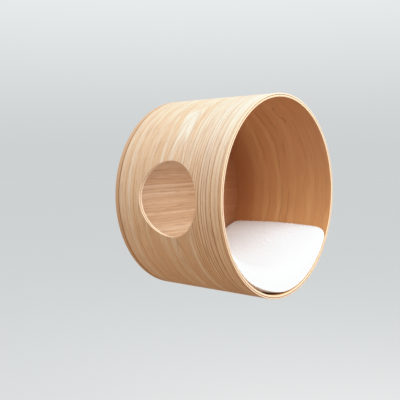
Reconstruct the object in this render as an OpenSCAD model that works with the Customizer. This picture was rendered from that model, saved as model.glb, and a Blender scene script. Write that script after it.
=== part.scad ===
// Cat wall drum: a bent plywood drum with an open front, a round side entrance
// and a loose cushion that lies in its round bottom.
// The origin is the centre of the back face, on the wall. +Y runs into the wall, +Z is up.

/* [Drum] */
// Outside diameter of the drum and of the back panel
drum_d = 450; // [400:1:520]
// Depth of the bent drum in front of the back panel
drum_depth = 288; // [260:1:340]
// Thickness of the outer bent wrap
outer_wrap_t = 3.4; // [2.6:0.1:5]
// Thickness of the inner bent wrap
inner_wrap_t = 4.4; // [3.4:0.1:6]
// Thickness of the glue line between the two wraps
glue_t = 0.2; // [0.1:0.05:0.5]
// Easing of the wraps' edges at the front rim
rim_ease = 0.8; // [0.2:0.1:1.5]
// Easing of the edges where the drum meets the back panel
joint_ease = 1.2; // [0.4:0.1:2]
// Opening of the butt seam in each wrap
butt_gap = 0.3; // [0.2:0.1:1]

/* [Side entrance] */
// Diameter of the round entrance in the drum's side
entrance_d = 160; // [120:1:200]
// Distance of the entrance's centre in front of the back panel
entrance_out = 144; // [120:1:160]

/* [Back panel] */
// Thickness of the back panel
panel_t = 12; // [9:0.5:18]
// Diameter of the wall screw holes
wall_hole_d = 6.5; // [5:0.1:8]
// Spacing of the wall screw holes, across and up
wall_hole_spacing = 240; // [180:1:260]
// Outside diameter of a screw cup
cup_d = 17; // [15:0.1:20]
// Height of a screw cup
cup_h = 5; // [4.5:0.1:7]
// Diameter of a screw cup's countersink at its mouth
cup_mouth_d = 13; // [10:0.1:14]

/* [Panel pins] */
// Number of pins around the back panel
pin_count = 16; // [8:1:24]
// Diameter of a pin's shank
pin_d = 2; // [1.4:0.1:2.4]
// Length of a pin under its head
pin_l = 38; // [30:1:60]
// Diameter of a pin's head
pin_head_d = 3.4; // [2.8:0.1:4]
// Thickness of a pin's head
pin_head_t = 1.2; // [0.8:0.1:2]
// Length of a pin's point
pin_point_l = 3; // [2:0.1:5]
// Depth of the pins' heads below the back face
pin_sink = 0.5; // [0.2:0.1:1]

/* [Cushion] */
// Width of the cushion, measured along the inside of the drum
cushion_w = 505; // [440:1:560]
// Thickness of the cushion at its crown
cushion_t = 60; // [48:1:80]
// Height of the cushion's seam above the drum
cushion_seam_h = 5; // [4:0.5:10]
// Radius of the cushion's front corners
front_corner_r = 32; // [20:1:70]
// Radius of the cushion's back corners
back_corner_r = 22; // [20:1:70]
// Distance from the front rim back to the cushion
cushion_set = 1; // [0.5:0.5:30]
// Thickness of the fleece top
fleece_t = 2.5; // [1.5:0.1:4]
// Thickness of the base cloth
base_t = 1.5; // [1:0.1:3]

/* [Zip] */
// Length of the zip's chain
zip_l = 300; // [200:1:320]
// Height of the zip's centre line above the cushion's seam
zip_rise = 12; // [10.5:0.5:14]
// Room between the back panel and the cushion
zip_room = 6; // [6:0.5:20]
// Width of a zip tape
tape_w = 8; // [5:0.5:9]
// Thickness of a zip tape
tape_t = 0.6; // [0.4:0.1:0.8]
// Width of one row of the chain
row_w = 1.8; // [1.2:0.1:2.4]
// Thickness of one row of the chain
row_t = 1.4; // [1:0.1:1.6]
// Width of the zip's slider
slider_w = 9; // [7:0.1:11]
// Length of the zip's slider
slider_l = 10; // [8:0.1:14]
// Thickness of the slider's outer wing
wing_t = 1; // [0.8:0.1:1.2]
// Thickness of the slider's inner wing
inner_wing_t = 0.5; // [0.4:0.1:0.7]
// Thickness of the slider's neck, between the rows
neck_t = 0.8; // [0.5:0.1:1.2]

/* [Hidden] */
$fn = 128;
// Overrun of every cut past the face that it opens
over = 1;

// Drum, from the wall outwards
drum_r = drum_d / 2;
outer_wrap_r = drum_r - outer_wrap_t;
inner_wrap_r = outer_wrap_r - glue_t;
inner_r = inner_wrap_r - inner_wrap_t;
front_z = panel_t + drum_depth;
// Angles of the two butt seams, staggered round the drum
outer_seam_a = -35;
inner_seam_a = -90;

// Clearance of a pin in its hole, and of a cup in its recess
pin_clear = 0.05;
cup_clear = 0.05;
// The pins stand in the middle of the inner wrap
pin_ring_r = inner_r + inner_wrap_t / 2;
pin_tip_z = pin_sink + pin_head_t + pin_l;

// Clearance of the cushion from the drum
cushion_clear = 0.4;
// Gap between the edges of the top and the base at the seam
seam_gap = 0.3;
// Gap between the filling and its cover
fill_gap = 0.3;
// Distance of the filling's rim inside the fleece, and the rim's thickness
fill_set = 2;
fill_rim_t = 0.2;
cushion_back_z = panel_t + zip_room;
cushion_l = front_z - cushion_set - cushion_back_z;
cushion_mid_z = cushion_back_z + cushion_l / 2;
seam_r = inner_r - cushion_clear - cushion_seam_h;
crown_h = cushion_t - cushion_seam_h;
// Powers of the crown's fall to the sides, of its rounded front and back, and of the sole's upturn
crown_side_n = 3;
crown_nose_n = 5;
sole_n = 14;
// Cells of the cushion's grid, across and along
cells_w = 20;
cells_l = 12;

// Zip, on the upright back face of the cushion
// Running clearance of the slider, and gap between a tape's hem and the fleece
zip_run = 0.3;
hem_gap = 0.2;
// Width of the hem by which a tape is sewn on, and length of an end stop
hem_w = 1.2;
stop_l = 2.5;
// Gap between a stop and the slider where it rests
stop_gap = 0.5;
// Height and thickness of the slider's bridge, which takes a hook in place of a pull
bridge_h = 1.2;
bridge_t = 0.5;
zip_r = seam_r - zip_rise;
neck_gap = neck_t + 2 * zip_run;
chain_half_w = neck_gap / 2 + row_w;
tape_front_z = cushion_back_z - inner_wing_t - 2 * zip_run;
tape_back_z = tape_front_z - tape_t;
row_back_z = tape_back_z - row_t;
wing_front_z = row_back_z - zip_run;
wing_back_z = wing_front_z - wing_t;
zip_half_a = arc_angle(zip_l / 2, zip_r);
stop_a = arc_angle(stop_l, zip_r);
slider_a = arc_angle(slider_l, zip_r);
slider_rest_a = -zip_half_a + stop_a + arc_angle(stop_gap, zip_r);

// Angle that a length takes up along a circle
function arc_angle(length, r) = length / r * 180 / PI;

// Turns what is drawn flat on the wall, with Z outwards, into the part's own frame
module on_wall() {
    rotate([90, 0, 0]) children();
}

// Repeats its children round the ring of panel pins
module at_pins() {
    for (i = [0 : pin_count - 1])
        rotate([0, 0, (i + 0.5) * 360 / pin_count]) translate([pin_ring_r, 0, 0]) children();
}

// Repeats its children at the four wall screw holes
module at_wall_holes() {
    for (x = [-1, 1], y = [-1, 1])
        translate([x * wall_hole_spacing / 2, y * wall_hole_spacing / 2, 0]) children();
}

// The round entrance, cut through the drum's left side
module entrance_cut() {
    translate([0, 0, panel_t + entrance_out])
        rotate([0, -90, 0]) cylinder(d = entrance_d, h = drum_r + over);
}

// The butt seam of a wrap, cut through the whole wall at one angle
module seam_cut(angle) {
    rotate([0, 0, angle])
        translate([inner_r - over, -butt_gap / 2, panel_t - over])
            cube([drum_r - inner_r + 2 * over, butt_gap, drum_depth + 2 * over]);
}

// The holes that the pins are driven into
module pin_cuts() {
    at_pins() {
        translate([0, 0, -over]) cylinder(d = pin_d + 2 * pin_clear, h = pin_tip_z + 2 * over);
        translate([0, 0, -over]) cylinder(d = pin_head_d + 2 * pin_clear, h = pin_sink + pin_head_t + over);
    }
}

module outer_wrap() {
    color("#D9B48C") on_wall() difference() {
        rotate_extrude() polygon([
            [outer_wrap_r, panel_t],
            [drum_r - joint_ease, panel_t],
            [drum_r, panel_t + joint_ease],
            [drum_r, front_z - rim_ease],
            [drum_r - rim_ease, front_z],
            [outer_wrap_r, front_z]]);
        entrance_cut();
        seam_cut(outer_seam_a);
    }
}

module inner_wrap() {
    color("#B98A5E") on_wall() difference() {
        rotate_extrude() polygon([
            [inner_r, panel_t],
            [inner_wrap_r, panel_t],
            [inner_wrap_r, front_z],
            [inner_r + rim_ease, front_z],
            [inner_r, front_z - rim_ease]]);
        entrance_cut();
        seam_cut(inner_seam_a);
        pin_cuts();
    }
}

module back_panel() {
    color("#B88C66") on_wall() difference() {
        rotate_extrude() polygon([
            [0, 0],
            [drum_r - joint_ease, 0],
            [drum_r, joint_ease],
            [drum_r, panel_t - joint_ease],
            [drum_r - joint_ease, panel_t],
            [0, panel_t]]);
        pin_cuts();
        at_wall_holes() {
            translate([0, 0, -over]) cylinder(d = wall_hole_d, h = panel_t + 2 * over);
            translate([0, 0, panel_t - cup_h]) cylinder(d = cup_d + 2 * cup_clear, h = cup_h + over);
        }
    }
}

module panel_pins() {
    color("#B8B8B4") on_wall() at_pins() translate([0, 0, pin_sink]) {
        cylinder(d = pin_head_d, h = pin_head_t);
        cylinder(d = pin_d, h = pin_head_t + pin_l - pin_point_l);
        translate([0, 0, pin_head_t + pin_l - pin_point_l]) cylinder(d1 = pin_d, d2 = 0, h = pin_point_l);
    }
}

module screw_cups() {
    cup_back_z = panel_t - cup_h;
    mouth_depth = (cup_mouth_d - wall_hole_d) / 2;
    color("#C8C4B8") on_wall() at_wall_holes() rotate_extrude() polygon([
        [wall_hole_d / 2, cup_back_z],
        [cup_d / 2, cup_back_z],
        [cup_d / 2, panel_t],
        [cup_mouth_d / 2, panel_t],
        [wall_hole_d / 2, panel_t - mouth_depth]]);
}

// How far a corner's radius pulls the corner in, at the front and at the back, and how much of
// that pull is left at a place along a side, so that the corner is turned through evenly
function corner_pull(v) = (v < 0 ? back_corner_r : front_corner_r) * (1 - sqrt(1 / 2));
function pull_at(place, half_side, pull) = pull * pow(abs(place), half_side / pull - 1);

// Place across the cushion and along it, for u and v from -1 to 1, with rounded corners
function across(u, v, inset) = u * (cushion_w / 2 - inset - pull_at(v, cushion_l / 2, corner_pull(v)));
function along(u, v, inset) = v * (cushion_l / 2 - inset - pull_at(u, cushion_w / 2, corner_pull(v)));

// Share of the crown's height, and of the sole's depth, at a place on the cushion
function crown_share(u, v) = (1 - pow(abs(u), crown_side_n))
    * pow(1 - pow(abs(v), crown_nose_n), 1 / crown_nose_n);
function sole_share(u, v) = (1 - pow(abs(u), sole_n)) * (1 - pow(abs(v), sole_n));

// A point of the cushion at radius r, over its place on the drum's inside
function cushion_point(u, v, inset, r) =
    let (a = arc_angle(across(u, v, inset), inner_r))
    [r * sin(a), -r * cos(a), cushion_mid_z + along(u, v, inset)];

// Places of the grid's lines, closer together towards the edges
function grid_line(i, cells) = -cos(180 * i / cells);

// A sheet of points over the cushion's plan, rising to the crown or falling to the sole
function top_sheet(inset, rise) = [for (i = [0 : cells_w], j = [0 : cells_l])
    let (u = grid_line(i, cells_w), v = grid_line(j, cells_l))
    cushion_point(u, v, inset, seam_r - rise * crown_share(u, v))];
function sole_sheet(inset, start, drop) = [for (i = [0 : cells_w], j = [0 : cells_l])
    let (u = grid_line(i, cells_w), v = grid_line(j, cells_l))
    cushion_point(u, v, inset, seam_r + start + drop * sole_share(u, v))];

// Index of a grid point, and the ring of points round the sheet's edge
function grid_at(i, j) = i * (cells_l + 1) + j;
grid_size = (cells_w + 1) * (cells_l + 1);
grid_rim = concat(
    [for (i = [0 : cells_w - 1]) grid_at(i, 0)],
    [for (j = [0 : cells_l - 1]) grid_at(cells_w, j)],
    [for (i = [cells_w : -1 : 1]) grid_at(i, cells_l)],
    [for (j = [cells_l : -1 : 1]) grid_at(0, j)]);

// The solid between an upper and a lower sheet, closed round their edges
module between_sheets(upper, lower) {
    upper_faces = [for (i = [0 : cells_w - 1], j = [0 : cells_l - 1])
        each [[grid_at(i, j), grid_at(i + 1, j + 1), grid_at(i, j + 1)],
            [grid_at(i, j), grid_at(i + 1, j), grid_at(i + 1, j + 1)]]];
    lower_faces = [for (f = upper_faces) [f[2] + grid_size, f[1] + grid_size, f[0] + grid_size]];
    rim_faces = [for (k = [0 : len(grid_rim) - 1])
        let (a = grid_rim[k], b = grid_rim[(k + 1) % len(grid_rim)])
        each [[a, b + grid_size, b], [a, a + grid_size, b + grid_size]]];
    polyhedron(points = concat(upper, lower), faces = concat(upper_faces, lower_faces, rim_faces));
}

module cushion_top() {
    color("#F4F3EF") on_wall()
        between_sheets(top_sheet(0, crown_h), top_sheet(fleece_t, crown_h - fleece_t));
}

module cushion_base() {
    color("#DEDAD0") on_wall()
        between_sheets(sole_sheet(base_t, seam_gap, cushion_seam_h - seam_gap - base_t),
            sole_sheet(0, seam_gap, cushion_seam_h - seam_gap));
}

module cushion_filling() {
    inset = fleece_t + fill_set;
    color("#FAFAFA") on_wall()
        between_sheets(top_sheet(inset, crown_h - fleece_t - fill_gap),
            sole_sheet(inset, fill_rim_t, cushion_seam_h - fill_rim_t - base_t - fill_gap));
}

// A profile of radius and height, turned round the drum's axis from one angle to another,
// counted from straight down
module zip_arc(from_a, to_a) {
    rotate([0, 0, from_a - 90]) rotate_extrude(angle = to_a - from_a) children();
}

// A rectangle in the zip's profile, between two distances from the chain's centre line
module zip_profile(from_w, to_w, from_z, to_z) {
    translate([zip_r + min(from_w, to_w), from_z]) square([abs(to_w - from_w), to_z - from_z]);
}

module zip_tapes() {
    tape_out = neck_gap / 2 + tape_w;
    color("#E6E2D8") on_wall() for (side = [-1, 1]) zip_arc(-zip_half_a, zip_half_a) {
        zip_profile(side * neck_gap / 2, side * tape_out, tape_back_z, tape_front_z);
        zip_profile(side * (tape_out - hem_w), side * tape_out, tape_back_z, cushion_back_z - hem_gap);
    }
}

module zip_chain() {
    row_a = zip_half_a - stop_a;
    color("#D8D4CA") on_wall() for (start = [-chain_half_w, neck_gap / 2])
        zip_arc(-row_a, row_a) zip_profile(start, start + row_w, row_back_z, tape_back_z);
}

module zip_stops() {
    color("#BDBDB8") on_wall() for (start_a = [-zip_half_a, zip_half_a - stop_a])
        zip_arc(start_a, start_a + stop_a) zip_profile(-chain_half_w, chain_half_w, row_back_z, tape_back_z);
}

module zip_slider() {
    inner_wing_z = tape_front_z + zip_run;
    color("#AFAFAA") on_wall() {
        zip_arc(slider_rest_a, slider_rest_a + slider_a) {
            zip_profile(-slider_w / 2, slider_w / 2, wing_back_z, wing_front_z);
            zip_profile(-neck_t / 2, neck_t / 2, wing_front_z, inner_wing_z);
            zip_profile(-slider_w / 2, slider_w / 2, inner_wing_z, inner_wing_z + inner_wing_t);
        }
        zip_arc(slider_rest_a, slider_rest_a + slider_a)
            zip_profile(-neck_t / 2, neck_t / 2, wing_back_z - bridge_h, wing_back_z - bridge_h + bridge_t);
        for (start_a = [slider_rest_a, slider_rest_a + slider_a - arc_angle(bridge_t, zip_r)])
            zip_arc(start_a, start_a + arc_angle(bridge_t, zip_r))
                zip_profile(-neck_t / 2, neck_t / 2, wing_back_z - bridge_h, wing_back_z);
    }
}

outer_wrap();
inner_wrap();
back_panel();
panel_pins();
screw_cups();
cushion_top();
cushion_base();
cushion_filling();
zip_tapes();
zip_chain();
zip_stops();
zip_slider();
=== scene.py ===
import math

import bpy
import numpy as np
from mathutils import Matrix, Vector, noise


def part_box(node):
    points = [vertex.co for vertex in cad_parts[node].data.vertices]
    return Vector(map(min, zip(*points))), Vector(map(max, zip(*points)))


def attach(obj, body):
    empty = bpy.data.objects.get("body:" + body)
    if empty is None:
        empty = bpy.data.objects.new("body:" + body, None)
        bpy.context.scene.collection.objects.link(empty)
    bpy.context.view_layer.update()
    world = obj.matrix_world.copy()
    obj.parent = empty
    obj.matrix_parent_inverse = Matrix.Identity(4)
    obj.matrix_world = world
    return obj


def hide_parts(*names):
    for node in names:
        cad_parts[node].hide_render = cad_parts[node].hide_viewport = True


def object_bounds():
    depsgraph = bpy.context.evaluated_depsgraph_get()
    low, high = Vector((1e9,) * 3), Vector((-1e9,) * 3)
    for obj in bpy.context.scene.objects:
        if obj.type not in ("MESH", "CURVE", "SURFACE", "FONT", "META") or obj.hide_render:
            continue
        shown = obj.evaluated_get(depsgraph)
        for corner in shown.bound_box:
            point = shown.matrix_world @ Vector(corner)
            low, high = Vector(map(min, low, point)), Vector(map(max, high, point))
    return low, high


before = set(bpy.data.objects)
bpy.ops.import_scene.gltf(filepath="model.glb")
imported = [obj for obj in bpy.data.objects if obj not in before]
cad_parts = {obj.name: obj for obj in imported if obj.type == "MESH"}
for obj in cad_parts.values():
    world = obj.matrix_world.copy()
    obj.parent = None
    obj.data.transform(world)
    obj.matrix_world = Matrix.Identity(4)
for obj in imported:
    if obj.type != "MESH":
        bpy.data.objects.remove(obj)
cad_low, cad_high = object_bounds()
scene = bpy.context.scene


# Camera: to the left of the open front and level with the drum's middle, as in the photograph.
# Its place and lens come from the outlines of the drum, its rim and its side entrance.
camera_place = Vector((-1.1213, -1.0024, 0.0795))
camera_yaw = 0.8709
camera_pitch = -0.0657
camera_roll = -0.0053
camera = bpy.data.objects.new("camera", bpy.data.cameras.new("camera"))
camera.data.lens = 53.79
camera.matrix_world = (
    Matrix.Translation(camera_place)
    @ Matrix.Rotation(-camera_yaw, 4, "Z")
    @ Matrix.Rotation(math.pi / 2 + camera_pitch, 4, "X")
    @ Matrix.Rotation(camera_roll, 4, "Z")
)
scene.collection.objects.link(camera)
scene.camera = camera


# Outer wrap: a strip of thin plywood, bent round into the drum's outside with its grain running
# round, and oiled matt. Its cut edges at the rim and the entrance are pale, and the glue that
# holds it to the inner wrap shows as a brown line round the rim. Its ends meet low on the right.
drum_radius = cad_high.x
glue_radius = 221.5
joint_depth = -12.0
outer_seam_angle = math.radians(-35)
outer_ply = 1.13
heart_line = -172.0
outer_years = ((-294, 0.7), (-284, 0.35), (-273, 1.0), (-261, 0.9), (-254, 0.55), (-248, 0.9), (-240, 0.95),
               (-233, 0.55), (-228, 0.6), (-222, 0.8), (-214, 0.5), (-204, 0.35), (-118, 0.2), (-96, 0.25),
               (-84, 0.3), (-57, 0.45), (-48, 0.2), (-33, 0.45), (-24, 0.25))
outer_bands = ((-288, 0.4), (-279, 0.45), (-266, 0.45), (-244, 0.2), (-209, 0.4), (-69, 0.25), (-42, 0.2),
               (-16, 0.25))
outer_tongues = ((-130, 0.6), (-154, 0.75), (-189, 0.75))
outer_tones = ((237, 203, 164), (163, 110, 73), (252, 238, 217))
edge_pale = (238, 211, 182)
edge_dark = (228, 198, 166)
glue_brown = (126, 82, 48)
# Painted shadow for the groove where the drum meets the back panel.
joint_shadow_brown = (150, 104, 70)


def linear(display):
    """A display colour of 0 to 255 as the linear colour that a socket takes."""
    shares = [value / 255 for value in display]
    return [s / 12.92 if s <= 0.04045 else ((s + 0.055) / 1.055) ** 2.4 for s in shares] + [1.0]


class Field:
    """A number or a colour that is worked out at every point. Sums of fields become nodes."""

    def __init__(self, mixer, socket):
        self.mixer = mixer
        self.socket = socket

    def __add__(self, other):
        return self.mixer.maths("ADD", self, other)

    def __sub__(self, other):
        return self.mixer.maths("SUBTRACT", self, other)

    def __rsub__(self, other):
        return self.mixer.maths("SUBTRACT", other, self)

    def __mul__(self, other):
        return self.mixer.maths("MULTIPLY", self, other)

    def __truediv__(self, other):
        return self.mixer.maths("DIVIDE", self, other)

    def __abs__(self):
        return self.mixer.maths("ABSOLUTE", self)

    __radd__ = __add__
    __rmul__ = __mul__


class Mixer:
    """A node tree whose nodes are added one at a time."""

    def __init__(self, tree):
        self.tree = tree

    def feed(self, socket, value):
        if isinstance(value, Field):
            self.tree.links.new(value.socket, socket)
        else:
            socket.default_value = value

    def node(self, kind, inputs, output=0, **settings):
        """Adds a node, and gives one of its outputs as a field. Shader nodes go by their short names."""
        made = self.tree.nodes.new(kind if "Node" in kind else "ShaderNode" + kind)
        for name, value in settings.items():
            setattr(made, name, value)
        for name, value in inputs.items():
            self.feed(made.inputs[name], value)
        return Field(self, made.outputs[output])

    def maths(self, operation, first, second=0.0):
        return self.node("Math", {0: first, 1: second}, operation=operation)

    def step(self, value, low, high, start=0.0, end=1.0):
        """Runs smoothly from start to end while value runs from low to high."""
        inputs = {"Value": value, "From Min": low, "From Max": high, "To Min": start, "To Max": end}
        return self.node("MapRange", inputs, interpolation_type="SMOOTHSTEP")

    def cloud(self, first, second, third, detail=2.0):
        """Noise from 0 to 1, with grains about one unit across."""
        place = self.node("CombineXYZ", {"X": first, "Y": second, "Z": third})
        return self.node("TexNoise", {"Vector": place, "Scale": 1.0, "Detail": detail})

    def mix(self, share, first, second):
        return self.node("Mix", {"Factor": share, 6: first, 7: second}, 2, data_type="RGBA")

    def parts(self, output):
        """The three parts of a texture coordinate."""
        vector = self.node("TexCoord", {}, output)
        return [self.node("SeparateXYZ", {0: vector}, axis) for axis in "XYZ"]


class Finish(Mixer):
    """A material for the pieces of the object."""

    def __init__(self, name):
        self.material = bpy.data.materials.new(name)
        self.material.use_nodes = True
        super().__init__(self.material.node_tree)
        self.shader = self.tree.nodes["Principled BSDF"]

    def place(self):
        """The Object coordinates, in millimetres."""
        return [part * 1000.0 for part in self.parts("Object")]

    def look(self, colour, roughness, height=None, relief=0.0, **sockets):
        """Feeds the shader: colour, roughness, a bump of that relief in millimetres, and fixed sockets."""
        self.feed(self.shader.inputs["Base Color"], colour)
        self.feed(self.shader.inputs["Roughness"], roughness)
        if height is not None:
            bump = self.node("Bump", {"Height": height, "Distance": relief / 1000}, "Normal")
            self.feed(self.shader.inputs["Normal"], bump)
        for name, value in sockets.items():
            self.shader.inputs[name.replace("_", " ")].default_value = value

    def cover(self, node):
        """Gives a CAD node this finish."""
        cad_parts[node].data.materials.clear()
        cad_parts[node].data.materials.append(self.material)


def bent_place(finish, seam_angle):
    """Where a point lies on a bent wrap, in millimetres: along the grain from opposite the seam,
    across the grain and out from the drum's axis, and how much its face is a cut edge."""
    x, y, z = finish.place()
    normal_x, normal_y, normal_z = finish.parts("Normal")
    seam_x, seam_z = math.cos(seam_angle), math.sin(seam_angle)
    angle = finish.maths("ARCTAN2", x * seam_z - z * seam_x, x * -seam_x - z * seam_z)
    radius = finish.maths("SQRT", x * x + z * z)
    squarely = abs((normal_x * x + normal_z * z) / radius)
    return angle * (drum_radius * 1000), y, radius, finish.step(squarely, 0.9, 0.72)


def grain(finish, along, across, seed, middle, wander, wobble, flame, rings, tones, strength, pores,
          dashes, pale=0.0, dark=0.0, knot=0.0):
    """Colour, relief and fibre of flat-cut veneer. The cut opens the year rings into flames along
    its middle and into straight lines towards its sides; fibres and pores run along the grain.
    flame is the depth of the log's heart under the cut, its fall along the grain and its wander,
    rings are the ring widths and strength the contrast on either side, tones are early, late and
    pale wood, and pores and dashes are the strengths of the fine and the coarse open vessels.
    pale and dark add streaks of their own, and knot pushes the rings apart."""
    def streaks(length, width, number, detail=2.0):
        return finish.cloud(along / length, side / width, seed + number, detail)

    side = across - middle
    side = side + (streaks(260.0, 110.0, 1.0) - 0.5) * wander + (streaks(50.0, 14.0, 2.0) - 0.5) * wobble
    heart = (finish.cloud(along / 240.0, 0.0, seed + 3.0, 1.0) - 0.5) * flame[2]
    heart = heart + along * flame[1] + flame[0]
    ring_radius = finish.maths("SQRT", side * side + heart * heart) + knot
    ring_width = finish.step(side, -60.0, 60.0, *rings)
    count = ring_radius / ring_width + finish.cloud(ring_radius / 21.0, 0.0, seed + 4.0) * 2.6
    share = finish.maths("FRACT", count)
    number = finish.maths("FLOOR", count) + seed
    weight = finish.node("TexWhiteNoise", {"W": number}, "Value", noise_dimensions="1D")
    group = finish.step(finish.cloud(side / 34.0, along / 900.0, seed + 8.0), 0.4, 0.6, 0.4, 1.0)
    late = finish.step(share, 0.2, 0.8) * finish.step(share, 1.0, 0.86)
    late = late * (weight * 0.8 + 0.2) * group * finish.step(side, -60.0, 60.0, *strength)
    dash = finish.step(streaks(45.0, 3.2, 9.0), 0.5, 0.7) * dashes
    late = finish.maths("MAXIMUM", finish.maths("MAXIMUM", late, dark), dash)
    broad = finish.step(streaks(520.0, 22.0, 5.0), 0.42, 0.68)
    fibre = streaks(60.0, 0.8, 6.0, 3.0)
    pore = finish.step(streaks(8.0, 0.36, 7.0), 0.6, 0.72) * (1.0 - late) * pores
    early_tone, late_tone, pale_tone = [linear(tone) for tone in tones]
    colour = finish.mix(broad * 0.5 + pale, early_tone, pale_tone)
    colour = finish.mix(late, colour, late_tone)
    colour = finish.mix(finish.step(fibre, 0.4, 0.75, 0.0, 0.28), colour, late_tone)
    colour = finish.mix(pore, colour, linear([tone * 0.62 for tone in tones[1]]))
    return colour, fibre * 0.4 - pore, fibre


def year_lines(finish, across, years, soft, sharp):
    """The strongest of a row of lines across the grain, each given by its place and its strength.
    A line comes on over soft millimetres and ends over sharp, as a year's late wood does."""
    drawn = 0.0
    for place, strength in years:
        past = across - place
        line = finish.step(past, -soft, 0.0) * finish.step(past, sharp, 0.0) * strength
        drawn = finish.maths("MAXIMUM", drawn, line)
    return drawn


def cut_edge(finish, veneer, edge, depth, ply, tones=(edge_pale, edge_dark)):
    """Plies across a cut edge, laid over the veneer where a face is an edge."""
    layer = finish.maths("PINGPONG", depth / ply, 1.0)
    speckle = finish.cloud(depth / 0.3, finish.place()[2] / 0.5, 0.0)
    plies = finish.mix(finish.step(layer, 0.42, 0.58), linear(tones[0]), linear(tones[1]))
    plies = finish.mix(finish.step(speckle, 0.45, 0.8, 0.0, 0.35), plies, linear(tones[1]))
    return finish.mix(edge, veneer, plies)


def glue_line(finish, colour, radius):
    """The brown line of glue between the two wraps, which shows round the front rim."""
    forward = finish.step(finish.parts("Normal")[1], -0.5, -0.8)
    line = finish.step(abs(radius - glue_radius), 0.95, 0.55) * forward
    return finish.mix(line, colour, linear(glue_brown))


outer_finish = Finish("outer_veneer")
along, across, radius, edge = bent_place(outer_finish, outer_seam_angle)
drift = (outer_finish.cloud(along / 300.0, across / 70.0, 12.0) - 0.5) * 7.0
shoulder = outer_finish.step(along, 120.0, -10.0) * outer_finish.step(along, -220.0, -100.0)
patches = outer_finish.cloud(along / 32.0, across / 4.0, 23.0)
year_strength = outer_finish.step(patches, 0.3, 0.65, 0.8, 1.25) * (1.0 - shoulder * 0.45)
years = year_lines(outer_finish, across + drift, outer_years, 2.8, 0.8) * year_strength
front_pale = outer_finish.step(across, -190.0, -215.0) * shoulder * 0.4
bands = year_lines(outer_finish, across + drift, outer_bands, 6.0, 6.0)
lean = outer_finish.step(along, 30.0, -100.0) * outer_finish.step(across, -240.0, -185.0) * 13.0
flame_side = across - lean
tongues = year_lines(outer_finish, flame_side, outer_tongues, 6.0, 6.0)
tongues = tongues * outer_finish.step(along, 170.0, 90.0)
flame_top = outer_finish.step(abs(flame_side - heart_line), 21.0, 11.0)
flame_top = flame_top * outer_finish.step(along, 60.0, -25.0) * 0.9
flame_pale = outer_finish.maths("MAXIMUM", tongues, flame_top) * outer_finish.step(along, -92.0, -62.0)
low_streak = outer_finish.step(abs(across - heart_line - 9.0), 12.0, 5.0)
low_streak = low_streak * outer_finish.step(along, 195.0, 225.0) * 0.5
veneer, relief, fibre = grain(
    outer_finish, along, across, seed=3.0, middle=heart_line, wander=10.0, wobble=1.4,
    flame=(30.0, -0.075, 18.0), rings=(4.6, 6.0), strength=(0.6, 0.3), pores=0.4, dashes=0.4,
    tones=outer_tones, pale=flame_pale + bands + front_pale + low_streak, dark=years)
veneer = cut_edge(outer_finish, veneer, edge, radius, outer_ply)
veneer = glue_line(outer_finish, veneer, radius)
# Painted shadow: the back edge next to the panel is painted dark, as the groove at the joint lies in shade.
joint = outer_finish.step(across, joint_depth - 1.8, joint_depth - 0.6)
veneer = outer_finish.mix(joint, veneer, linear(joint_shadow_brown))
outer_roughness = fibre * 0.14 + edge * 0.3 + 0.42
outer_finish.look(veneer, outer_roughness, relief, 0.15, Coat_Weight=0.25, Coat_Roughness=0.45)
outer_finish.cover("outer_wrap")


# Inner wrap: the second bent strip, glued inside the first. Its veneer is plainer and browner, with a small
# knot near the top, and painted shade darkens it towards the back. Its ends meet at the bottom, under the
# cushion.
inner_seam_angle = math.radians(-90)
inner_ply = 1.1
inner_years = ((-252, 0.25), (-240, 0.3), (-178, 0.4), (-157, 0.5), (-115, 0.35), (-98, 0.2), (-60, 0.25))
inner_bands = ((-147, 0.6), (-106, 0.3))
inner_tones = ((212, 156, 104), (160, 102, 62), (227, 178, 124))
# The brown of painted shade, laid over the inner veneer towards the back and over the panel's right side.
painted_shade_brown = (166, 96, 52)
knot_place = (-110.0, -222.0)
knot_size = (24.0, 8.0)
inner_finish = Finish("inner_veneer")
along, across, radius, edge = bent_place(inner_finish, inner_seam_angle)
knot_along = (along - knot_place[0]) / knot_size[0]
knot_across = (across - knot_place[1]) / knot_size[1]
knot_reach = inner_finish.maths("SQRT", knot_along * knot_along + knot_across * knot_across)
knot_reach = knot_reach + (inner_finish.cloud(along / 14.0, across / 7.0, 29.0) - 0.5) * 1.6
knot_rings = inner_finish.step(abs(knot_reach - 1.2), 0.35, 0.05)
knot_rings = knot_rings * inner_finish.step(knot_across, -0.5, 0.5) * 0.6
drift = (inner_finish.cloud(along / 120.0, across / 90.0, 31.0) - 0.5) * 26.0
years = year_lines(inner_finish, across + drift, inner_years, 7.0, 1.4)
years = years * inner_finish.step(inner_finish.cloud(along / 90.0, across / 12.0, 37.0), 0.35, 0.6)
veneer, relief, fibre = grain(
    inner_finish, along, across, seed=41.0, middle=-150.0, wander=70.0, wobble=5.0,
    flame=(70.0, 0.05, 60.0), rings=(24.0, 30.0), strength=(0.25, 0.25), pores=0.2, dashes=0.12,
    tones=inner_tones,
    pale=year_lines(inner_finish, across + drift, inner_bands, 9.0, 9.0),
    dark=inner_finish.maths("MAXIMUM", years, knot_rings),
    knot=inner_finish.step(knot_reach, 2.2, 0.0) * 30.0)
# Painted shade: the veneer turns towards the shade brown towards the back, where the inside of the drum
# lies in shadow.
veneer = inner_finish.mix(inner_finish.step(across, -130.0, -30.0) * 0.6, veneer, linear(painted_shade_brown))
veneer = cut_edge(inner_finish, veneer, edge, radius, inner_ply)
veneer = glue_line(inner_finish, veneer, radius)
inner_finish.look(veneer, fibre * 0.12 + edge * 0.3 + 0.46, relief, 0.12)
inner_finish.cover("inner_wrap")
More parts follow.
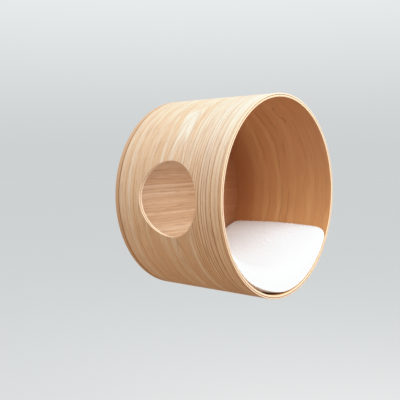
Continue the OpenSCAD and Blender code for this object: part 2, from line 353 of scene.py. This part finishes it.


# Back panel: a disc of plywood that closes the drum's back and is screwed to the wall. Its veneer lies with
# the grain level, with painted shade darkening it towards the right; its edge plies are painted browner
# than the rim as shade from the wall, and its joint with the drum is a painted shadow line.
panel_ply = 1.33
# Plies of the panel's edge, painted browner than the rim's as shade from the wall the panel stands against.
panel_edge_ply_and_shade_tones = ((226, 190, 154), (202, 162, 126))
panel_tones = ((206, 166, 128), (150, 102, 67), (225, 194, 161))
panel_years = ((150, 0.5), (134, 0.4), (118, 0.5), (97, 0.4), (84, 0.35), (70, 0.4), (57, 0.6), (51, 0.4),
               (44, 0.55), (37, 0.55), (25, 0.65), (14, 0.65), (6, 0.5), (-31, 0.55), (-38, 0.6),
               (-50, 0.45), (-58, 0.5), (-64, 0.45), (-71, 0.45), (-110, 0.4), (-124, 0.5), (-146, 0.4),
               (-163, 0.5), (-180, 0.4))
panel_bands = ((20, 0.6), (1, 0.6), (-45, 0.6), (-84, 0.5), (-95, 0.5))
panel_finish = Finish("panel_veneer")
x, y, z = panel_finish.place()
drift = (panel_finish.cloud(x / 160.0, z / 40.0, 53.0) - 0.5) * 9.0
year_strength = panel_finish.step(panel_finish.cloud(x / 70.0, z / 4.0, 57.0), 0.35, 0.62, 0.25, 1.0)
veneer, relief, fibre = grain(
    panel_finish, x, z, seed=77.0, middle=150.0, wander=14.0, wobble=3.0,
    flame=(40.0, 0.04, 30.0), rings=(8.0, 8.0), strength=(0.3, 0.3), pores=0.5, dashes=0.35,
    tones=panel_tones,
    pale=year_lines(panel_finish, z + drift, panel_bands, 4.5, 4.5),
    dark=year_lines(panel_finish, z + drift, panel_years, 3.0, 0.9) * year_strength)
# Painted shade: the veneer turns towards the shade brown towards the right, where the drum's wall shades
# the panel.
veneer = panel_finish.mix(panel_finish.step(x, 60.0, 190.0) * 0.75, veneer, linear(painted_shade_brown))
edge = panel_finish.step(abs(panel_finish.parts("Normal")[1]), 0.9, 0.72)
veneer = cut_edge(panel_finish, veneer, edge, y, panel_ply, panel_edge_ply_and_shade_tones)
# Painted shadow: the edge next to the drum is painted dark, as the groove at the joint lies in shade.
joint = panel_finish.step(y, joint_depth + 1.8, joint_depth + 0.6) * edge
veneer = panel_finish.mix(joint, veneer, linear(joint_shadow_brown))
panel_finish.look(veneer, fibre * 0.12 + edge * 0.3 + 0.44, relief, 0.15)
panel_finish.cover("back_panel")


# Pins and screw cups: bright drawn wire pins, driven through the panel into the inner wrap, and
# turned nickel cups that take the heads of the wall screws. The zip's stops and slider are nickel too.
metals = {"panel_pins": (190, 190, 186), "screw_cups": (206, 200, 188),
          "zip_stops": (188, 188, 184), "zip_slider": (188, 188, 184)}
for node, tone in metals.items():
    metal = Finish(node + "_metal")
    x, y, z = metal.place()
    scratch = metal.cloud(x / 0.3, y / 4.0, z / 0.3, 3.0)
    metal.look(linear(tone), scratch * 0.2 + 0.22, scratch, 0.01, Metallic=1.0)
    metal.cover(node)


# Cushion: a knife-edged pillow that lies in the drum's round bottom, white short-pile fleece on a
# woven base. It is sewn a little flatter than it lies, and its filling blows the fleece up.
inner_wall = 0.217
cushion_wide = 0.514
cushion_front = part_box("cushion_top")[0].y
cushion_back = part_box("cushion_top")[1].y
cushion_deep = cushion_back - cushion_front
sole_radius = 0.2166
side_seam_radius = 0.2158
crown_rise = 0.0595
front_corner = 0.032
back_corner = 0.010
seam_lift = 0.0068
lift_place = -0.26
lift_half = 0.3
cloth_cell = 0.005
side_power = 4.7
side_fuller = 2.0
side_bow = 0.0045
front_power = 4.0
back_power = 11.0
sole_power = 14.0
front_sole_power = 2.5
sole_margin = 0.25
deflated = 0.95
swell_cap = 0.004
pressure = 4.0
spare_cloth = -0.004
blowing_frames = 20
pile_height = 0.0005
pile_tuft = 0.0065
pile_fine_tuft = 0.0035
pucker_height = 0.0006
pucker_length = 0.016
pucker_reach = 0.016
pucker_sway = (0.03, 0.04)
fleece_shade = (230, 235, 240)
fleece_white = (241, 246, 250)
fleece_grey = (235, 239, 242)
base_tones = ((206, 199, 187), (232, 227, 218))
base_thread = 5.2


def even_places(profile, half, cell):
    """Places from -1 to 1 that lie one cell apart along a profile's own curve."""
    fine = -np.cos(np.linspace(0, math.pi, 4001))
    run = np.hypot(np.diff(fine * half), np.diff(profile(fine)))
    length = np.concatenate([[0], np.cumsum(run)])
    return np.interp(np.linspace(0, length[-1], round(length[-1] / cell) + 1), length, fine)


def side_fall(u, v=0.0):
    """Share of the crown that is left towards the sides, which are fuller at the back."""
    return 1 - np.abs(u) ** (side_power - side_fuller * v)


def nose_fall(v):
    """Share of the crown that is left towards the back, which is square, and the rounder front."""
    power = np.where(v < 0, back_power, front_power)
    return np.maximum(0, 1 - np.abs(v) ** power) ** (1 / power)


def corner_pull(place, half, v):
    """How far the rounded corners draw the outline in at a place along a side."""
    pull = np.where(v < 0, back_corner, front_corner) * (1 - math.sqrt(0.5))
    return pull * np.abs(place) ** (half / pull - 1)


def seam_radius(u, v):
    """Distance of the seam from the drum's axis. It lifts off the wall low in the front."""
    low_front = np.exp(-((u - lift_place) / lift_half) ** 2) * np.clip(v, 0, 1) ** 2
    return side_seam_radius - seam_lift * low_front


def cushion_sheet(u, v, radius):
    """The points of a sheet of the cushion, at these distances from the drum's axis."""
    across = u * (cushion_wide / 2 - corner_pull(v, cushion_deep / 2, v) - side_bow * v ** 2)
    along = v * (cushion_deep / 2 - corner_pull(u, cushion_wide / 2, v))
    angle = across / inner_wall
    middle = (cushion_front + cushion_back) / 2
    return np.stack([radius * np.sin(angle), middle - along, -radius * np.cos(angle)], -1)


def quads(index):
    """The four-cornered faces of a grid of points."""
    corners = index[:-1, :-1], index[1:, :-1], index[1:, 1:], index[:-1, 1:]
    return np.stack(corners, -1).reshape(-1, 4)


def mesh_points(mesh):
    flat = np.empty(len(mesh.vertices) * 3, np.float32)
    mesh.vertices.foreach_get("co", flat)
    return flat.reshape(-1, 3).astype(float)


def finished_mesh(piece):
    """A plain mesh of a piece with its modifiers applied."""
    return bpy.data.meshes.new_from_object(piece.evaluated_get(bpy.context.evaluated_depsgraph_get()))


def kept_in(points):
    """Points of the cushion, kept off the drum's wall, the open front and the zip."""
    radius = np.hypot(points[:, 0], points[:, 2])
    points[:, [0, 2]] *= np.minimum(1, sole_radius / radius)[:, None]
    points[:, 1] = np.clip(points[:, 1], cushion_front, cushion_back)
    return points


rows = even_places(lambda t: crown_rise * side_fall(t), cushion_wide / 2, cloth_cell)
columns = even_places(lambda t: crown_rise * nose_fall(t), cushion_deep / 2, cloth_cell)
u, v = np.meshgrid(rows, columns, indexing="ij")
seam = seam_radius(u, v)
blown_share = deflated
top = cushion_sheet(u, v, seam - blown_share * crown_rise * side_fall(u, v) * nose_fall(v))
evenly = np.clip((1 - np.abs(u)) / sole_margin, 0, 1)
sole_v = v + (np.linspace(-1, 1, len(columns)) - v) * evenly
sole_seam = seam_radius(u, sole_v)
sole_end_power = np.where(sole_v < 0, sole_power, front_sole_power)
sole_share = (1 - np.abs(u) ** sole_power) * (1 - np.abs(sole_v) ** sole_end_power)
sole = cushion_sheet(u, sole_v, sole_seam + (sole_radius - sole_seam) * sole_share)
count_u, count_v = u.shape
top_index = np.arange(count_u * count_v).reshape(count_u, count_v)
inside = np.zeros((count_u, count_v), bool)
inside[1:-1, 1:-1] = True
sole_index = top_index.copy()
sole_index[inside] = count_u * count_v + np.arange(inside.sum())
cushion_mesh = bpy.data.meshes.new("cushion_cover")
cushion_faces = np.concatenate([quads(top_index)[:, ::-1], quads(sole_index)])
cushion_points = np.concatenate([top.reshape(-1, 3), sole[inside]])
cushion_mesh.from_pydata(cushion_points.tolist(), [], cushion_faces.tolist())
top_count = len(quads(top_index))
for polygon in cushion_mesh.polygons:
    polygon.material_index = int(polygon.index >= top_count)
    polygon.use_smooth = True
cushion = bpy.data.objects.new("cushion_cover", cushion_mesh)
scene.collection.objects.link(cushion)

sewn_down = cushion.vertex_groups.new(name="sewn_down")
sewn_down.add(sole_index.ravel().tolist(), 1.0, "REPLACE")
filling = cushion.modifiers.new("filling", "CLOTH")
filling.settings.quality = 6
filling.settings.mass = 0.3
filling.settings.bending_stiffness = 4.0
filling.settings.use_pressure = True
filling.settings.uniform_pressure_force = pressure
filling.settings.shrink_min = spare_cloth
filling.settings.vertex_group_mass = "sewn_down"
filling.settings.effector_weights.gravity = 0
filling.collision_settings.use_collision = False
for number in range(1, blowing_frames + 1):
    scene.frame_set(number)
blown = cushion.evaluated_get(bpy.context.evaluated_depsgraph_get())
moved = mesh_points(blown.to_mesh()) - cushion_points
cushion.modifiers.remove(filling)
cushion.vertex_groups.clear()
scene.frame_set(1)
reach = np.linalg.norm(moved, axis=1)
cushion_points += moved * (swell_cap / (swell_cap + reach))[:, None]
cushion_mesh.vertices.foreach_set("co", kept_in(cushion_points).ravel())

rounding = cushion.modifiers.new("rounding", "SUBSURF")
rounding.levels = rounding.render_levels = 1
cushion_mesh = finished_mesh(cushion)
cushion.modifiers.remove(rounding)
cushion.data = cushion_mesh
cushion_mesh.name = "cushion_cover"

points = mesh_points(cushion_mesh)
normals = np.array([vertex.normal for vertex in cushion_mesh.vertices])
fleece_share = np.ones(len(points))
for polygon in cushion_mesh.polygons:
    if polygon.material_index:
        fleece_share[list(polygon.vertices)] = 0
across = np.arctan2(points[:, 0], -points[:, 2]) * inner_wall
from_end = np.minimum(points[:, 1] - cushion_front, cushion_back - points[:, 1])
from_side = cushion_wide / 2 - np.abs(across)
from_wall = side_seam_radius - np.hypot(points[:, 0], points[:, 2])
from_seam = np.hypot(np.minimum(from_end, from_side), from_wall)
seam_run = np.where(from_end < from_side, across, points[:, 1])
lift = np.zeros(len(points))
for number, point in enumerate(points):
    pile = noise.noise(Vector(point) / pile_tuft) + 0.7 * noise.noise(Vector(point) / pile_fine_tuft)
    sway_place = (seam_run[number] / pucker_sway[0], from_seam[number] / pucker_sway[1], 5.0)
    sway = noise.noise(Vector(sway_place))
    fold = math.sin(2 * math.pi * seam_run[number] / pucker_length + 3 * sway)
    lift[number] = pile * pile_height + fold * pucker_height * math.exp(-from_seam[number] / pucker_reach)
points += normals * (lift * fleece_share)[:, None]
cushion_mesh.vertices.foreach_set("co", kept_in(points).ravel())
cushion_mesh.update()

fleece = Finish("fleece")
x, y, z = fleece.place()
tuft = fleece.cloud(x / 2.2, y / 2.2, z / 2.2, 3.0)
patch = fleece.cloud(x / 30.0, y / 30.0, z / 30.0)
fleece_tone = fleece.mix(fleece.step(tuft, 0.35, 0.7), linear(fleece_shade), linear(fleece_white))
fleece_tone = fleece.mix(fleece.step(patch, 0.4, 0.7, 0.0, 0.3), fleece_tone, linear(fleece_grey))
fleece.look(fleece_tone, 1.0, tuft, 0.8, Specular_IOR_Level=0.1, Sheen_Weight=1.0, Sheen_Roughness=0.4)
base_cloth = Finish("base_cloth")
x, y, z = base_cloth.place()
turn = base_cloth.maths("ARCTAN2", x, z * -1.0) * (inner_wall * 1000)
weave = base_cloth.maths("SINE", turn * base_thread) * base_cloth.maths("SINE", y * base_thread) * 0.5 + 0.5
slub = base_cloth.cloud(turn / 9.0, y / 0.7, z / 9.0)
cloth_tone = base_cloth.mix(weave * 0.6 + slub * 0.4, *[linear(tone) for tone in base_tones])
base_cloth.look(cloth_tone, 0.92, weave, 0.25, Specular_IOR_Level=0.2)
cushion_mesh.materials.clear()
cushion_mesh.materials.append(fleece.material)
cushion_mesh.materials.append(base_cloth.material)
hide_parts("cushion_top", "cushion_base", "cushion_filling")
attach(cushion, "cushion")


# Zip: two woven tapes, each sewn to the cushion's back by a line of stitches along its hem, and each
# with a row of nylon coil teeth along its free edge. The slider runs between the two rows.
zip_radius = 0.1996
zip_half_angle = math.radians(43.06)
coil_half_angle = math.radians(42.34)
coil_depth = -0.0156
coil_pitch = 0.0013
coil_off_middle = 0.00148
coil_tooth = (0.00056, 0.0007, 0.00102)
stitch_depth = -0.0163
stitch_pitch = 0.003
stitch_off_middle = 0.0081
stitch_loop = (0.0012, 0.0002, 0.0003)
bead_sides = 8
bead_rings = 6
tape_tones = ((204, 198, 186), (236, 231, 221))
coil_tones = ((214, 209, 199), (232, 228, 219))
thread_tones = ((214, 208, 196), (240, 236, 228))

tape_finish = Finish("zip_tape")
x, y, z = tape_finish.place()
tape_run = tape_finish.maths("ARCTAN2", x, z * -1.0) * (zip_radius * 1000)
tape_rise = tape_finish.maths("SQRT", x * x + z * z)
twill = tape_finish.maths("SINE", tape_run * 6.0 + tape_rise * 6.0) * 0.5 + 0.5
ribs = tape_finish.maths("SINE", tape_rise * 9.0) * 0.5 + 0.5
tape_tone = tape_finish.mix(twill * 0.6 + ribs * 0.4, *[linear(tone) for tone in tape_tones])
tape_finish.look(tape_tone, 0.85, twill, 0.12, Specular_IOR_Level=0.25)
tape_finish.cover("zip_tapes")

coil_finish = Finish("zip_nylon")
x, y, z = coil_finish.place()
coil_wear = coil_finish.cloud(x / 3.0, y / 3.0, z / 3.0)
coil_tone = coil_finish.mix(coil_wear, *[linear(tone) for tone in coil_tones])
coil_finish.look(coil_tone, coil_wear * 0.2 + 0.3, coil_wear, 0.02)

thread_finish = Finish("zip_thread")
x, y, z = thread_finish.place()
thread_run = thread_finish.maths("ARCTAN2", x, z * -1.0) * (zip_radius * 1000)
thread_rise = thread_finish.maths("SQRT", x * x + z * z)
ply = thread_finish.maths("SINE", thread_run * 12.0 + thread_rise * 9.0) * 0.5 + 0.5
thread_tone = thread_finish.mix(ply, *[linear(tone) for tone in thread_tones])
thread_finish.look(thread_tone, 0.7, ply, 0.05)

bead_tree = bpy.data.node_groups.new("beads_on_an_arc", "GeometryNodeTree")
bead_inputs = {"Geometry": "Geometry", "Count": "Int", "Radius": "Float", "Half Angle": "Float",
               "Shift": "Float", "Depth": "Float", "Bead": "Vector", "Finish": "Material"}
for name, kind in bead_inputs.items():
    bead_tree.interface.new_socket(name, in_out="INPUT", socket_type="NodeSocket" + kind)
bead_tree.interface.new_socket("Geometry", in_out="OUTPUT", socket_type="NodeSocketGeometry")
row = Mixer(bead_tree)
row_inputs = bead_tree.nodes.new("NodeGroupInput")
given = {name: Field(row, row_inputs.outputs[name]) for name in bead_inputs}
share = (row.node("GeometryNodeInputIndex", {}) + given["Shift"]) / given["Count"]
angle = (share * 2.0 - 1.0) * given["Half Angle"]
bead_place = row.node("CombineXYZ", {
    "X": row.maths("SINE", angle) * given["Radius"],
    "Y": given["Depth"],
    "Z": row.maths("COSINE", angle) * given["Radius"] * -1.0})
spots = row.node("GeometryNodePoints", {"Count": given["Count"], "Position": bead_place})
bead = row.node("GeometryNodeMeshUVSphere", {"Segments": bead_sides, "Rings": bead_rings, "Radius": 1.0})
beads = row.node("GeometryNodeInstanceOnPoints", {
    "Points": spots, "Instance": bead, "Scale": given["Bead"],
    "Rotation": row.node("CombineXYZ", {"Y": angle * -1.0})})
beads = row.node("GeometryNodeRealizeInstances", {"Geometry": beads})
beads = row.node("GeometryNodeSetShadeSmooth", {"Geometry": beads})
beads = row.node("GeometryNodeSetMaterial", {"Geometry": beads, "Material": given["Finish"]})
joined = row.node("GeometryNodeJoinGeometry", {"Geometry": beads})
row.feed(bead_tree.nodes["Join Geometry"].inputs[0], given["Geometry"])
row.feed(bead_tree.nodes.new("NodeGroupOutput").inputs["Geometry"], joined)


def beaded(name, rows):
    """A piece made of rows of beads. Each row gives its own values for the tree's inputs."""
    piece = bpy.data.objects.new(name, bpy.data.meshes.new(name))
    scene.collection.objects.link(piece)
    for values in rows:
        modifier = piece.modifiers.new("row", "NODES")
        modifier.node_group = bead_tree
        for item in bead_tree.interface.items_tree:
            if item.name in values:
                modifier[item.identifier] = values[item.name]
    piece.data = finished_mesh(piece)
    piece.modifiers.clear()
    return piece


coil_count = round(2 * coil_half_angle * zip_radius / coil_pitch)
zip_coil = beaded("zip_coil", [
    {"Count": coil_count, "Radius": zip_radius + side * coil_off_middle, "Half Angle": coil_half_angle,
     "Shift": 0.5 + side * 0.25, "Depth": coil_depth, "Bead": coil_tooth, "Finish": coil_finish.material}
    for side in (-1, 1)])
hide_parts("zip_chain")
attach(zip_coil, "cushion")

stitch_count = round(2 * zip_half_angle * zip_radius / stitch_pitch)
zip_stitches = beaded("zip_stitches", [
    {"Count": stitch_count, "Radius": zip_radius + side * stitch_off_middle, "Half Angle": zip_half_angle,
     "Shift": 0.5, "Depth": stitch_depth, "Bead": stitch_loop, "Finish": thread_finish.material}
    for side in (-1, 1)])
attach(zip_stitches, "cushion")


# Floor and light: a plain pale floor well below the drum, and a pale room that is warmer on the left
# and below. A wide soft lamp hangs before the open front, and a smaller one on the right reaches into
# the drum. The film curve holds back the brightest whites.
floor_drop = 1.1
floor_half = 30.0
floor_grey = [0.703, 0.69, 0.673, 1.0]
floor_mesh = bpy.data.meshes.new("floor")
floor_corners = [(-1, -1), (1, -1), (1, 1), (-1, 1)]
floor_mesh.from_pydata(
    [(x * floor_half, y * floor_half, -floor_drop) for x, y in floor_corners], [], [(0, 1, 2, 3)])
floor = bpy.data.objects.new("floor", floor_mesh)
scene.collection.objects.link(floor)
floor.visible_diffuse = False
floor.visible_glossy = False
floor_paint = Finish("floor_paint")
floor_paint.look(floor_grey, 1.0, Specular_IOR_Level=0.0)
floor_mesh.materials.append(floor_paint.material)

room_above = [0.89, 0.95, 0.99, 1.0]
room_level = [0.80, 0.82, 0.83, 1.0]
room_left = [0.79, 0.63, 0.45, 1.0]
room_below = [0.43, 0.275, 0.172, 1.0]
backdrop_low = [0.614, 0.634, 0.636, 1.0]
backdrop_high = [0.85, 0.88, 0.885, 1.0]
world = bpy.data.worlds.new("room")
world.use_nodes = True
scene.world = world
room = Mixer(world.node_tree)
way_right, _, way_up = room.parts("Generated")
room_light = room.mix(room.step(way_right, -0.2, -0.8), room_level, room_left)
room_light = room.mix(room.step(way_up, -0.35, -0.02), room_below, room_light)
room_light = room.mix(room.step(way_up, 0.0, 0.7), room_light, room_above)
backdrop = room.mix(room.step(way_up, 0.0, 0.35), backdrop_low, backdrop_high)
seen = room.node("LightPath", {}, "Is Camera Ray")
room.feed(world.node_tree.nodes["Background"].inputs["Color"], room.mix(seen, room_light, backdrop))


def soft_lamp(name, place, side, watts, colour):
    """A square lamp that faces the middle of the drum."""
    data = bpy.data.lights.new(name, "AREA")
    data.shape = "SQUARE"
    data.size = side
    data.energy = watts
    data.color = colour
    lamp = bpy.data.objects.new(name, data)
    lamp.location = place
    middle = (cad_low + cad_high) / 2
    lamp.rotation_euler = (middle - Vector(place)).to_track_quat("-Z", "Y").to_euler()
    scene.collection.objects.link(lamp)


soft_lamp("window_lamp", (-0.1, -1.65, 1.5), 1.8, 38, (0.97, 0.988, 1.0))
soft_lamp("fill_lamp", (0.7, -1.5, 0.75), 0.8, 12, (0.94, 0.985, 1.0))

film_white = 1.6
film_curve = ((0.1, 0.1), (0.3, 0.3), (0.55, 0.55), (0.78, 0.78), (0.95, 0.915), (1.1, 0.96), (1.3, 0.985))
scene.view_settings.view_transform = "Standard"
scene.view_settings.use_curve_mapping = True
film = scene.view_settings.curve_mapping
film.white_level = [film_white] * 3
for light, shown in film_curve:
    film.curves[3].points.new(light / film_white, shown)
film.update()
